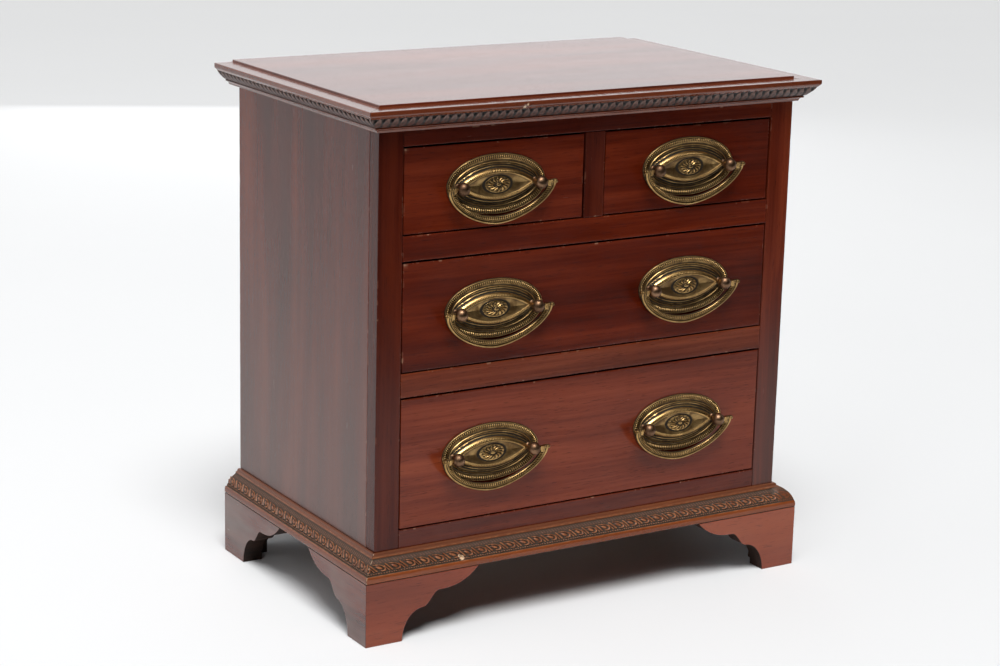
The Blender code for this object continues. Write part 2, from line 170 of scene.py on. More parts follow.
class Graph:
    """Short ways to write the nodes of a material, or of a world; offset shifts its patterns."""

    def __init__(self, name, offset=(0.0, 0.0, 0.0), owners=bpy.data.materials):
        self.owner = owners.new(name)
        self.owner.use_nodes = True
        self.tree = self.owner.node_tree
        self.tree.nodes.clear()
        coordinates = self.node("TexCoord").outputs
        self.place, self.direction = coordinates["Object"], coordinates["Generated"]
        self.offset = offset

    def node(self, kind, inputs=None, **settings):
        made = self.tree.nodes.new("ShaderNode" + kind)
        for key, value in settings.items():
            setattr(made, key, value)
        for key, value in (inputs or {}).items():
            self.feed(made.inputs[key], value)
        return made

    def feed(self, socket, value):
        if isinstance(value, bpy.types.NodeSocket):
            self.tree.links.new(value, socket)
        elif isinstance(value, tuple) and len(value) == 3 and socket.type == "RGBA":
            socket.default_value = (*value, 1.0)
        else:
            socket.default_value = value

    def noise(self, scale, detail, rough=0.5, distortion=0.0, place=None, fixed=False):
        """Noise; scale is one number or one for each axis, and fixed noise takes no offset."""
        scale = scale if isinstance(scale, tuple) else (scale,) * 3
        inputs = {"Vector": place or self.place, "Scale": scale,
                  "Location": (0.0, 0.0, 0.0) if fixed else self.offset}
        place = self.node("Mapping", inputs).outputs[0]
        inputs = {"Vector": place, "Scale": 1.0, "Detail": detail, "Roughness": rough,
                  "Distortion": distortion}
        return self.node("TexNoise", inputs).outputs[0]

    def attribute(self, name):
        return self.node("Attribute", attribute_name=name).outputs["Fac"]

    def math(self, operation, first, second=0.0, clamp=False):
        made = self.node("Math", operation=operation, use_clamp=clamp)
        self.feed(made.inputs[0], first)
        self.feed(made.inputs[1], second)
        return made.outputs[0]

    def times(self, first, second, clamp=False):
        return self.math("MULTIPLY", first, second, clamp)

    def plus(self, first, second, clamp=False):
        return self.math("ADD", first, second, clamp)

    def minus(self, first, second, clamp=False):
        return self.math("SUBTRACT", first, second, clamp)

    def band(self, value, low, high, to_low=0.0, to_high=1.0):
        """Maps low..high of a value smoothly to to_low..to_high."""
        inputs = {"Value": value, "From Min": low, "From Max": high, "To Min": to_low,
                  "To Max": to_high}
        return self.node("MapRange", inputs, interpolation_type="SMOOTHSTEP").outputs[0]

    def mix(self, factor, first, second, blend="MIX"):
        made = self.node("Mix", data_type="RGBA", blend_type=blend)
        for socket, value in zip((made.inputs[0], made.inputs[6], made.inputs[7]),
                                 (factor, first, second)):
            self.feed(socket, value)
        return made.outputs[2]

    def ramp(self, factor, stops):
        made = self.node("ValToRGB", {"Fac": factor})
        elements = made.color_ramp.elements
        while len(elements) < len(stops):
            elements.new(0.5)
        for element, (position, colour) in zip(elements, stops):
            element.position = position
            element.color = (*colour, 1.0)
        return made.outputs[0]

    def bump(self, height, distance, strength=1.0, normal=None):
        inputs = {"Height": height, "Distance": distance, "Strength": strength}
        if normal is not None:
            inputs["Normal"] = normal
        return self.node("Bump", inputs).outputs[0]

    def finish(self, colour, rough, normal=None, ior=None, specular=None, metal=None):
        """Surface of the material; a value left out keeps the shader's own."""
        inputs = {"Base Color": colour, "Roughness": rough, "Normal": normal, "IOR": ior,
                  "Specular IOR Level": specular, "Metallic": metal}
        inputs = {key: value for key, value in inputs.items() if value is not None}
        shader = self.node("BsdfPrincipled", inputs)
        self.node("OutputMaterial", {"Surface": shader.outputs[0]})
        return self.owner


def along(axis, with_grain, across):
    """Scale of a pattern that is drawn out along one axis."""
    return tuple(with_grain if k == axis else across for k in range(3))


def wood_figure(g, grain, fine=0.5):
    """Figure, its broad part, fine streaks and open pores; fine is the streaks' share."""
    bend = g.noise(along(grain, 3.0, 6.0), 2.0, 0.55)
    bent = g.node("VectorMath", {0: g.place}, operation="MULTIPLY_ADD")
    g.feed(bent.inputs[1], (1.0, 1.0, 1.0))
    lean = g.node("CombineXYZ")
    for k in range(3):
        if k != grain:
            g.feed(lean.inputs[k], g.times(g.minus(bend, 0.5), 0.012))
    g.feed(bent.inputs[2], lean.outputs[0])
    place = bent.outputs[0]
    broad = g.noise(along(grain, 2.2, 30.0), 2.0, 0.5, 0.3, place=place)
    streak = g.noise(along(grain, 9.0, 330.0), 3.0, 0.6, place=place)
    pores = g.noise(along(grain, 95.0, 1900.0), 2.0, place=place)
    figure = g.plus(g.times(broad, 1.0 - fine), g.times(streak, fine))
    return figure, broad, streak, g.band(pores, 0.6, 0.72)


POLISH_IOR, DRY_IOR = 1.52, 1.45
PORE, WORN_EDGE = (0.012, 0.002, 0.001), (0.22, 0.07, 0.03)
# The dusty grey serves for dusty haze and, low on the boards, for painted floor light
BARE_WOOD, DUST_AND_FLOOR_LIGHT = (0.45, 0.27, 0.17), (0.22, 0.17, 0.15)
# Dark, middle and light tones of the figure
MAHOGANY = ((0.036, 0.0036, 0.001), (0.085, 0.0086, 0.002), (0.148, 0.0195, 0.0048))


def polished_mahogany(name, grain, offset=(0.0, 0.0, 0.0), tones=MAHOGANY, gloss=0.2, haze=0.02,
                      contrast=0.8, fine=0.3, shine=0.27, painted_floor_light=0.0):
    """French-polished mahogany: figure, pores, blotches, worn arrises, chips, a dusty haze, and
    painted floor light laid on as that haze, more thickly towards the bottom.

    It reads the numbers edge and chip that worn_board leaves on the vertices."""
    g = Graph(f"mahogany_{name}", offset)
    figure, _, streak, pores = wood_figure(g, grain, fine)
    spread = 0.17 / contrast
    colour = g.ramp(g.band(figure, 0.5 - spread, 0.5 + spread),
                    ((0.0, tones[0]), (0.5, tones[1]), (1.0, tones[2])))
    blotch = g.noise(along(grain, 5.0, 16.0), 3.0, 0.6)
    colour = g.mix(g.band(blotch, 0.45, 0.75, 0.0, 0.4), colour, tones[0])
    colour = g.mix(g.times(pores, 0.55), colour, PORE)
    rubbed = g.noise(90.0, 5.0, 0.65, fixed=True)
    arris = g.math("POWER", g.attribute("edge"), 3.0)
    wear = g.times(arris, g.band(rubbed, 0.52, 0.75), True)
    colour = g.mix(g.times(wear, 0.4), colour, WORN_EDGE)
    knocks = g.noise(140.0, 1.0)
    nick = g.times(arris, g.band(knocks, 0.72, 0.77), True)
    chip = g.plus(g.attribute("chip"), g.times(nick, 0.4), True)
    colour = g.mix(chip, colour, BARE_WOOD)
    smear = g.noise(along(grain, 9.0, 22.0), 3.0, 0.6)
    scuffs = g.noise(along(grain, 60.0, 700.0), 2.0, 0.6)
    height = g.node("SeparateXYZ", {0: g.place}).outputs["Z"]
    # Painted floor light: the dusty grey is laid on more thickly towards the bottom
    low = g.band(height, 0.05, 0.33, painted_floor_light, 0.0)
    dust_and_floor_light = g.plus(g.times(g.band(smear, 0.35, 0.75), haze), low)
    colour = g.mix(dust_and_floor_light, colour, DUST_AND_FLOOR_LIGHT)
    rough = g.plus(g.band(smear, 0.3, 0.75, gloss, gloss + 0.05),
                   g.times(g.band(scuffs, 0.66, 0.78), 0.04))
    rough = g.plus(rough, g.times(wear, 0.2), True)
    swell = g.noise(16.0, 1.0)
    normal = g.bump(swell, 0.0006, 0.4)
    grain_height = g.minus(g.times(streak, 0.5), pores)
    normal = g.bump(grain_height, 0.00005, 0.45, normal)
    return g.finish(colour, rough, normal, POLISH_IOR, shine)


def carved_mahogany(name, grain, tones, rubbed, hollow, stain, shine):
    """Carved strips: dark stain left in the hollows, rubbed paler on the high parts.

    It reads the numbers carved, cavity, ridge and chip that carved_strip leaves."""
    g = Graph(name, (3.1, 1.7, 0.4))
    figure, _, _, pores = wood_figure(g, grain)
    colour = g.ramp(figure, ((0.3, tones[0]), (0.7, tones[1])))
    colour = g.mix(g.times(pores, 0.4), colour, hollow)
    mottle = g.noise(230.0, 4.0, 0.65, fixed=True)
    carved = g.attribute("carved")
    darkening = g.plus(g.times(g.attribute("cavity"), 1.7),
                  g.band(mottle, 0.58, 0.75, stain, stain + 0.4), True)
    darkening = g.times(darkening, carved, True)
    colour = g.mix(darkening, colour, hollow)
    rub = g.times(g.band(g.attribute("ridge"), 0.2, 0.95),
                 g.band(mottle, 0.35, 0.62, 0.1, 1.0))
    rub = g.times(rub, g.band(carved, 0.0, 1.0, 0.3, 0.75), True)
    colour = g.mix(rub, colour, rubbed)
    colour = g.mix(g.attribute("chip"), colour, (0.7, 0.5, 0.33))
    rough = g.plus(g.band(carved, 0.0, 1.0, 0.13, 0.28), g.times(darkening, 0.35), True)
    height = g.times(mottle, g.band(carved, 0.0, 1.0, 0.15, 1.0))
    return g.finish(colour, rough, g.bump(height, 0.00012, 0.5), POLISH_IOR, shine)


def secondary_wood(name, grain, offset=(0.0, 0.0, 0.0)):
    """Unpolished drawer and back timber: brown with age, open grain, handling marks."""
    g = Graph(name, offset)
    figure, _, streak, pores = wood_figure(g, grain)
    colour = g.ramp(g.band(figure, 0.32, 0.68),
                    ((0.0, (0.105, 0.047, 0.021)), (0.5, (0.19, 0.096, 0.046)),
                     (1.0, (0.29, 0.165, 0.088))))
    stain = g.noise(11.0, 4.0, 0.6, 0.6)
    colour = g.mix(g.band(stain, 0.45, 0.75, 0.0, 0.6), colour, (0.07, 0.033, 0.017))
    colour = g.mix(g.times(pores, 0.6), colour, (0.04, 0.018, 0.009))
    saw = g.noise(along(grain, 420.0, 12.0), 2.0, 0.6)
    rough = g.band(stain, 0.3, 0.8, 0.62, 0.82)
    height = g.plus(g.times(saw, 0.5), g.minus(streak, pores))
    return g.finish(colour, rough, g.bump(height, 0.00012, 0.6), DRY_IOR)


def painted_shade_wood(name, grain):
    """Sawn edges and glue blocks under the chest: unpolished, and near black as painted shade."""
    g = Graph(name, (0.7, 0.2, 0.5))
    figure, broad, streak, pores = wood_figure(g, grain)
    colour = g.ramp(figure, ((0.35, (0.012, 0.007, 0.005)), (0.65, (0.045, 0.018, 0.01))))
    rough = g.band(broad, 0.3, 0.7, 0.55, 0.75)
    height = g.minus(streak, pores)
    return g.finish(colour, rough, g.bump(height, 0.0001, 0.5), DRY_IOR, 0.3)


def aged_brass(name, bright, tarnish, polish=0.26):
    """Lacquered brass gone brown: bright where it is rubbed, nearly black in the hollows, and on the
    posts darkened at the neck as painted shade.
    """
    g = Graph(name)
    shift = g.node("ObjectInfo").outputs["Random"]
    moved = g.node("VectorMath", {0: g.place}, operation="ADD")
    g.feed(moved.inputs[1], g.node("CombineXYZ", {"X": shift, "Y": shift}).outputs[0])
    place = moved.outputs[0]
    cloud = g.noise(120.0, 4.0, 0.6, 0.5, place=place)
    speck = g.noise(1500.0, 3.0, 0.6, place=place)
    colour = g.mix(g.band(cloud, 0.28, 0.62), bright, tarnish)
    # The cavity darkening is tarnish in the hollows of plates and bails, and painted shade at the
    # posts' necks
    cavity = g.attribute("cavity")
    darkening = g.plus(g.times(cavity, 1.8),
                  g.times(g.band(speck, 0.6, 0.74), 0.35), True)
    colour = g.mix(darkening, colour, (0.02, 0.013, 0.006))
    colour = g.mix(g.times(g.band(g.attribute("ridge"), 0.15, 0.9), 0.5), colour,
                   tuple(min(1.0, 1.45 * c) for c in bright))
    metal = g.minus(1.0, g.times(darkening, 0.55), True)
    rough = g.plus(g.band(cloud, 0.3, 0.75, polish, polish + 0.14),
                   g.times(darkening, 0.3), True)
    normal = g.bump(speck, 0.00003, 0.5, g.bump(cloud, 0.0002, 0.35))
    return g.finish(colour, rough, normal, metal=metal)


def paper_floor():
    g = Graph("studio_floor")
    tooth = g.noise(2.0, 3.0)
    colour = g.mix(tooth, (0.79, 0.806, 0.826), (0.81, 0.826, 0.846))
    return g.finish(colour, 0.85, specular=0.2)


# Boards ----------------------------------------------------------------------------------

WEAR_WIDTH = 1.4 * MM


def stations(low, high, radius, cell):
    """Stations along one side of a board: close round the arrises, even between them."""
    worn = min(WEAR_WIDTH, (high - low) / 5)
    near = np.concatenate([radius * (1 - np.tan(np.radians([45.0, 30.0, 15.0, 0.0]))),
                           radius + worn * np.array([0.4, 1.0])])
    count = max(2, int(math.ceil((high - low - 2 * near[-1]) / cell)) + 1)
    inner = np.linspace(low + near[-1], high - near[-1], count)
    return np.concatenate([low + near[:-1], inner, (high - near[:-1])[::-1]])


def box_shell(lines):
    """Vertices and outward quads of a box whose faces are cut at the given stations."""
    counts = tuple(len(line) for line in lines)
    quads = []
    for axis in range(3):
        a, b = (axis + 1) % 3, (axis + 2) % 3
        i, j = np.meshgrid(np.arange(counts[a] - 1), np.arange(counts[b] - 1), indexing="ij")
        for end in (0, counts[axis] - 1):
            corners = []
            for da, db in ((0, 0), (1, 0), (1, 1), (0, 1)):
                index = np.zeros((3, i.size), int)
                index[axis], index[a], index[b] = end, (i + da).ravel(), (j + db).ravel()
                corners.append(np.ravel_multi_index(index, counts))
            quads.append(np.stack(corners if end else corners[::-1], -1))
    used, faces = np.unique(np.concatenate(quads), return_inverse=True)
    picked = np.unravel_index(used, counts)
    vertices = np.stack([lines[k][picked[k]] for k in range(3)], -1)
    return vertices, faces.reshape(-1, 4)


def worn_board(name, low, high, radius=0.45 * MM, cell=2.5 * MM, wear=0.1 * MM, seed=1,
               dents=()):
    """A board with rounded, unevenly rubbed arrises and small dents (place, radius, depth)."""
    low, high = np.array(low), np.array(high)
    radius = min(radius, 0.3 * (high - low).min())
    vertices, faces = box_shell([stations(low[k], high[k], radius, cell) for k in range(3)])
    inner = np.clip(vertices, low + radius, high - radius)
    normal = vertices - inner
    normal /= np.linalg.norm(normal, axis=1)[:, None]
    depth = np.sort(np.minimum(vertices - low, high - vertices), axis=1)[:, 1]
    worn = min(WEAR_WIDTH, (high - low).min() / 5)
    edge = np.clip(1 - (depth - radius) / worn, 0, 1)
    vertices = inner + normal * radius
    rub = np.clip(wobble(vertices, 16 * MM, seed) * 0.6 + wobble(vertices, 5 * MM, seed + 7) * 0.5,
                  0, 1.5)
    vertices = vertices - normal * (wear * rub * edge ** 2)[:, None]
    vertices += normal * (0.02 * MM * wobble(vertices, 55 * MM, seed + 3) - 0.02 * MM)[:, None]
    chip = np.zeros(len(vertices))
    for place, size, drop in dents:
        near = np.exp(-np.sum((vertices - np.array(place)) ** 2, 1) / size ** 2)
        vertices = vertices - normal * (near * drop)[:, None]
        chip = np.maximum(chip, near * 0.7)
    return build_mesh(name, vertices, faces, 50.0, {"edge": edge, "chip": chip})


def board_for(node, material, slot="mahogany_polished", **shape):
    """Replaces a CAD board by a worn board of the same size on the same body."""
    low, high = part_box(node)
    mesh = worn_board(node + "_board", low, high, **shape)
    body = frame["nodes"][node]["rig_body"]
    return add_piece(node + "_board", mesh, material, body, [node])


def repaint(node, material):
    """A carried-over CAD node in its finished material, with lightly rounded arrises."""
    item = frame["nodes"][node]
    item.data.materials.clear()
    item.data.materials.append(material)
    soften(item, 0.2 * MM)


def soften(item, width=0.25 * MM, angle=25.0):
    """Rounds a piece's arrises with a modifier."""
    bevel = item.modifiers.new("arris", "BEVEL")
    bevel.width = width
    bevel.segments = 2
    bevel.limit_method = "ANGLE"
    bevel.angle_limit = math.radians(angle)
    bevel.harden_normals = True


# Carved mouldings ------------------------------------------------------------------------

def arc(centre, radius, start, end, count):
    """Points of a circular arc, angles in degrees."""
    angles = np.radians(np.linspace(start, end, count))
    return [(centre[0] + radius * math.cos(a), centre[1] + radius * math.sin(a)) for a in angles]


def carved_band(start, end, bulge, count):
    """Points of a slightly swelling band from start to end."""
    start, end = np.array(start), np.array(end)
    out = np.array([end[1] - start[1], start[0] - end[0]])
    out /= np.linalg.norm(out)
    t = np.linspace(0, 1, count)[:, None]
    return start + (end - start) * t + out * bulge * 4 * t * (1 - t)


def cornice_section():
    """(projection, height above the cornice's foot) in mm, and the carved band's share."""
    lower = [(0.3, 0.0), (1.4, 0.0), (2.6, 0.0), (2.9, 0.35), (3.0, 0.9), (3.3, 1.5), (3.9, 2.1),
             (4.6, 2.45), (5.0, 2.5), (5.5, 2.75), (5.75, 3.2), (5.6, 3.65), (5.2, 3.85)]
    band = carved_band((5.5, 4.1), (12.2, 10.9), 0.9, 34)
    upper = [(12.4, 11.1), (13.2, 12.0), (14.1, 12.8), (14.4, 13.3), (14.5, 13.9), (14.5, 15.7)]
    upper += arc((14.0, 15.95), 0.5, 0, 90, 5)
    upper += [(13.2, 16.45), (8.0, 16.4), (3.0, 16.4), (1.2, 16.55), (0.3, 16.8)]
    return lower, band, upper


def base_section():
    """(projection, height above the moulding's foot) in mm, and the carved band's share."""
    lower = [(0.3, 0.0), (6.0, 0.0), (12.9, 0.0), (13.1, 0.2), (13.2, 0.6), (13.2, 2.0),
             (13.1, 3.2), (12.9, 4.0), (12.6, 4.5), (12.4, 4.7)]
    band = carved_band((12.4, 4.9), (3.9, 14.9), 1.5, 52)
    upper = [(3.7, 15.1), (3.5, 15.2), (3.2, 15.3), (2.8, 15.5), (2.5, 15.7), (2.35, 15.95),
             (2.3, 16.2)] + arc((1.4, 16.3), 0.9, 10, 110, 6) + [(0.3, 17.3)]
    return lower, band, upper


def ridge(distance, width):
    return np.exp(-(distance / width) ** 2)


def segment_distance(x, y, first, second):
    """Distance of points from the line between two points."""
    dx, dy = second[0] - first[0], second[1] - first[1]
    t = np.clip(((x - first[0]) * dx + (y - first[1]) * dy) / (dx * dx + dy * dy), 0, 1)
    return np.hypot(x - first[0] - t * dx, y - first[1] - t * dy)


SCROLL_PITCH, SCROLL_BAND = 11.7, 12.5       # mm along and across the carved band
TONGUE_PITCH, TONGUE_BAND = 6.4, 9.8
CARVING_STEP = 0.42
PLAIN_FADE = 5.0                             # mm over which carving dies into a plain end


def scroll_relief(s, v):
    """Base carving: a running scroll that hooks round an egg. s along in mm, v across 0 to 1.

    Gives height from 0, the ground, to 1."""
    pitch, band = SCROLL_PITCH, SCROLL_BAND
    sway = 0.35 * np.sin(s / 7.3) + 0.25 * np.sin(s / 3.1 + 1.0)
    x = ((s + sway) / pitch - np.floor((s + sway) / pitch) - 0.5) * pitch
    level = v * band
    y = (level - 4.9 + 0.12 * np.sin(s / 5.2)) / 0.57
    lean = x + 0.5 * y
    egg = 0.85 * np.sqrt(np.clip(1 - ((lean - 1.3) / 2.3) ** 2 - ((y - 0.3) / 3.0) ** 2, 0, 1))
    hook_radius = np.hypot((lean - 1.3) / 3.7, (y - 0.3) / 4.2)
    hook_angle = np.degrees(np.arctan2(y - 0.3, lean - 1.3))
    hook = ridge((hook_radius - 1) * 3.6, 0.8) * window(hook_angle, -125, -95, 70, 105)
    stem = ridge(segment_distance(x, y, (-5.4, 4.6), (-1.3, -3.6)), 0.85)
    strand = 0.8 * np.maximum(ridge(segment_distance(x, y, (-6.6, 2.0), (-3.4, -4.2)), 0.75),
                              ridge(segment_distance(x, y, (5.1, 2.0), (8.3, -4.2)), 0.75))
    leaf = 0.8 * ridge(segment_distance(x, y, (-2.4, 4.7), (0.4, 3.6)), 0.7)
    bead_step = pitch / 6
    beads = 0.6 * ridge(np.hypot((x / bead_step - np.round(x / bead_step)) * bead_step,
                                 (level - 1.2) * 1.3), 0.75)
    shelf = 0.12 * smooth_step(level, 7.4, 9.0)
    ticks = (0.16 + 0.14 * np.cos(2 * math.pi * (s + 0.5 * level) / 2.34)) * smooth_step(
        level, 8.2, 9.2)
    rim = 0.8 * ridge(level - band, 0.5)
    return np.max([egg, 0.95 * hook, 0.95 * stem, strand, leaf, beads, shelf, ticks, rim], axis=0)


def tongue_relief(s, v):
    """Cornice carving: upright tongues with a dark round hollow between their shoulders."""
    pitch, band = TONGUE_PITCH, TONGUE_BAND
    x = (s / pitch - np.floor(s / pitch) - 0.5) * pitch
    y = v * band
    half_width = 2.75 * np.sqrt(np.clip(1 - ((y - 4.4) / 5.6) ** 2, 0.02, 1))
    tongue = np.sqrt(np.clip(1 - (x / half_width) ** 2, 0, 1))
    dimple = 0.42 * ridge(np.hypot(x / 1.1, (y - 5.2) / 1.9), 1.0)
    edge = np.abs(x) - pitch / 2
    hollow = ridge(np.hypot(edge / 0.95, (y - 8.2) / 1.25), 1.0)
    dart = 0.55 * ridge(edge, 0.45) * (1 - smooth_step(y, 4.5, 6.5))
    face = 0.62 + 0.38 * np.maximum(tongue - dimple, dart)
    return np.maximum(np.clip(face - 1.1 * hollow, 0, 1), 0.7 * ridge(y - 0.3, 0.35))


def carved_strip(name, section, relief, depth, run, mitres, matrix, phase, material, node,
                 chips=(), plain=0.0, cracked=None, stain=0.0):
    """A carved moulding along local Z from -run/2 to run/2, its back near X = 0.

    An end whose mitre is 1 is cut at 45 degrees; chips are (along, height, size, loss) in mm.
    The last plain mm are left uncarved, stain darkens the fillet above the band, and cracked
    opens the mitre at the low end (negative) or the high end."""
    lower, band, upper = section
    points = np.array([*lower, *band, *upper], float)
    reach, level = points[:, 0][None], points[:, 1][None]
    across = np.full(len(points), -1.0)
    across[len(lower):len(lower) + len(band)] = np.linspace(0, 1, len(band))
    slope = np.gradient(points, axis=0)
    out = np.stack([slope[:, 1], -slope[:, 0]], -1)
    out /= np.linalg.norm(out, axis=1)[:, None]
    run_mm = run / MM
    steps = int(run_mm / CARVING_STEP)
    u = np.linspace(0, 1, steps + 1)[:, None]
    low_end, high_end = -run_mm / 2, run_mm / 2
    s = (low_end - mitres[0] * reach) * (1 - u) + (high_end + mitres[1] * reach) * u
    v = np.broadcast_to(across, s.shape)
    on_band = v >= 0
    height = np.where(on_band, relief(s + phase, v), 1.0)
    fade = np.where(on_band, smooth_step(v, -0.02, 0.05), 0)
    if plain:
        fade = fade * (1 - smooth_step(s, high_end - plain, high_end - plain + PLAIN_FADE))
    loss = (1 - height) * depth * fade
    spot = np.stack(np.broadcast_arrays(s, reach, level), -1).reshape(-1, 3)
    loss += (0.1 * np.clip(wobble(spot, 7.0, 5), -0.3, 1.5)
             + 0.05 * wobble(spot, 2.2, 6)).reshape(s.shape) * np.where(on_band, 1.0, 0.35)
    chip = np.zeros_like(s)
    for where, rise, size, gone in chips:
        near = ridge(np.hypot(s - where, level - rise), size)
        loss += near * gone
        chip = np.maximum(chip, smooth_step(near, 0.3, 0.6))
    if cracked is not None:
        away = (s - s[:1]) if cracked < 0 else (s[-1:] - s)
        gone = ridge(away, 0.45) * smooth_step(np.sin(level * 1.9 + 0.6), -0.5, 0.3)
        chip = np.maximum(chip, 0.8 * gone * (reach > 1.5))
        loss += 0.25 * gone
    loss[:, [0, -1]] = 0
    p = np.maximum(reach - loss * out[:, 0], JOINT_GAP / MM)
    z = np.clip(level - loss * out[:, 1], 0, level.max())
    along_z = (low_end - mitres[0] * p) * (1 - u) + (high_end + mitres[1] * p) * u
    vertices = np.stack([p, z, along_z], -1).reshape(-1, 3) * MM
    cavity, high = relief_shade(-loss, 4, 0.4, False)
    count = len(points)
    fillet = np.arange(count) >= len(lower) + len(band)
    carved = np.broadcast_to(np.where(across >= 0, 1.0, np.where(fillet, stain, 0.0)), s.shape)
    ground = 0.45 * np.where(on_band, 1 - height, stain)
    mesh = build_mesh(name, vertices, tube_faces(steps + 1, count), 60.0, {
        "cavity": (cavity + ground) * carved, "ridge": high, "carved": carved, "chip": chip})
    mesh.transform(matrix)
    if matrix.determinant() < 0:
        mesh.flip_normals()
    mesh.update()
    return add_piece(name, mesh, material, "carcase", [node])


def moulding_set(prefix, section, relief, depth, back_y, pitch, materials, chips, plain=0.0,
                 stain=0.0):
    """Front strip and two side strips round the carcase."""
    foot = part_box(f"{prefix}_front")[0].z
    across = Matrix(((0, 0, 1, 0), (-1, 0, 0, FACE_Y), (0, 1, 0, foot), (0, 0, 0, 1)))
    carved_strip(f"{prefix}_front_carved", section, relief, depth, 2 * CARCASE_HALF, (1, 1),
                 across, pitch / 2, materials["x"], f"{prefix}_front", chips.get("front", ()),
                 plain, -1 if plain else None, stain)
    run = back_y - FACE_Y - JOINT_GAP
    middle = (back_y + FACE_Y + JOINT_GAP) / 2
    for side, sign in SIDES.items():
        lengthwise = Matrix(((sign, 0, 0, sign * CARCASE_HALF), (0, 0, -1, middle),
                             (0, 1, 0, foot), (0, 0, 0, 1)))
        carved_strip(f"{prefix}_{side}_carved", section, relief, depth, run, (0, 1), lengthwise,
                     0.3 * pitch, materials["y"], f"{prefix}_{side}", chips.get(side, ()),
                     stain=stain)


# Feet ------------------------------------------------------------------------------------

FOOT_THICKNESS = 15.5 * MM
FOOT_STAND = 0.7 * MM                 # outward of the CAD foot, flush with the moulding
COVE_WIDTH, COVE_RISE = 17.0 * MM, 22.5 * MM
STEP_WIDTH, STEP_RISE = 12.5 * MM, 10.8 * MM
FOOT_ROOT = 61.6 * MM
GLUE_BLOCK, BLOCK_INSET = 9.0 * MM, 1.5 * MM
FRONT_PADS = (29 * MM, 27 * MM)       # widths on the floor, front face and side face
REAR_PAD, REAR_BRACKET = 33 * MM, 48 * MM


def bracket_outline(pad, top):
    """Face of a bracket: pad, cove, small step and a long ogee up to the carcase."""
    points = [(0.0, 0.0), (pad, 0.0)]
    for k in range(1, 19):
        angle = math.radians(180 - 5 * k)
        points.append((pad + COVE_WIDTH * (1 + math.cos(angle)), COVE_RISE * math.sin(angle)))
    for k in range(1, 10):
        t = k / 9
        points.append((pad + COVE_WIDTH + STEP_WIDTH * t,
                       COVE_RISE + STEP_RISE * (3 * t * t - 2 * t ** 3)))
    start = pad + COVE_WIDTH + STEP_WIDTH
    for k in range(1, 16):
        t = k / 15
        points.append((start + (pad + FOOT_ROOT - start) * t,
                       COVE_RISE + STEP_RISE + (top - COVE_RISE - STEP_RISE) * t ** 2.6))
    return points + [(0.0, top)]


def plain_bracket_outline(length, top):
    return [(0.0, 0.0), (length * 0.5, 0.0), (length, top * 0.8), (length, top), (0.0, top)]


def bracket(name, outline, mitre, matrix, material, shaded_edges, nodes=()):
    """A shaped bracket board, its end at local X = 0 cut at 45 degrees where mitre is 1."""
    half = FOOT_THICKNESS / 2
    count = len(outline)
    front = [(x, y, half) for x, y in outline]
    back = [(x + (FOOT_THICKNESS * mitre if x == 0.0 else 0.0), y, -half) for x, y in outline]
    faces = [list(range(count)), list(range(count, 2 * count))[::-1]]
    faces += [[k, k + count, (k + 1) % count + count, (k + 1) % count] for k in range(count)]
    mesh = build_mesh(name, front + back, faces, 30.0)
    mesh.transform(matrix)
    if matrix.determinant() < 0:
        mesh.flip_normals()
    mesh.materials.append(material)
    mesh.materials.append(shaded_edges)
    # Painted shade: every face but the front face takes the near-black wood
    for face in mesh.polygons[1:]:
        face.material_index = 1
    item = add_piece(name, mesh, material, "carcase", nodes)
    soften(item, 0.35 * MM, 30)


def feet(woods):
    for side, sign in SIDES.items():
        for end, y_sign in (("front", -1), ("rear", 1)):
            node = f"foot_{end}_{side}"
            low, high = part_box(node)
            top = high.z
            x = (high.x if sign > 0 else low.x) + sign * FOOT_STAND
            y = low.y - FOOT_STAND if y_sign < 0 else high.y
            half = FOOT_THICKNESS / 2
            across = Matrix(((-sign, 0, 0, x), (0, 0, y_sign, y - y_sign * half), (0, 1, 0, 0),
                             (0, 0, 0, 1)))
            lengthwise = Matrix(((0, 0, sign, x - sign * half), (-y_sign, 0, 0, y),
                                 (0, 1, 0, 0), (0, 0, 0, 1)))
            if end == "front":
                faces = [bracket_outline(pad, top) for pad in FRONT_PADS]
            else:
                faces = (plain_bracket_outline(REAR_BRACKET, top), bracket_outline(REAR_PAD, top))
            bracket(f"{node}_face", faces[0], 1, across, woods["x"], woods["shaded_edges"], [node])
            bracket(f"{node}_side", faces[1], 1, lengthwise, woods["y"], woods["shaded_edges"])
            inner, outer = FOOT_THICKNESS + JOINT_GAP, FOOT_THICKNESS + GLUE_BLOCK
            corners = np.array([(x - sign * inner, y - y_sign * inner, BLOCK_INSET),
                                (x - sign * outer, y - y_sign * outer, top - BLOCK_INSET)])
            block = worn_board(f"{node}_glue_block", corners.min(0), corners.max(0), cell=4 * MM,
                               radius=0.6 * MM, wear=0.5 * MM, seed=31)
            add_piece(f"{node}_glue_block", block, woods["block"], "carcase")


# Handles ---------------------------------------------------------------------------------

PLATE_HALF = (39.5, 21.25)           # mm
DISH_HALF = (27.0, 8.2)
DISH_RIM = 4.2                       # width of the raised roll round the dish
ROSETTE_HALF = (10.3, 5.9)
TEETH = 118
TOOTH_STEPS = 8
BAND_WIDTH = 8.0                     # outer part of the plate whose lines keep their width
POST_X = 31.0
BAIL_TILT = math.radians(12.0)
# Half width, drop and exponent of the bail's outer and inner edges
BAIL_OUTER = (43.5, 28.7, 1.7)
BAIL_INNER = (36.8, 22.4, 1.85)
BAIL_THICKNESS = 2.2
PLATE_SINK = 0.2 * MM


def through(x, *points):
    """A value that runs through (position, value) points."""
    return np.interp(x, [p[0] for p in points], [p[1] for p in points])


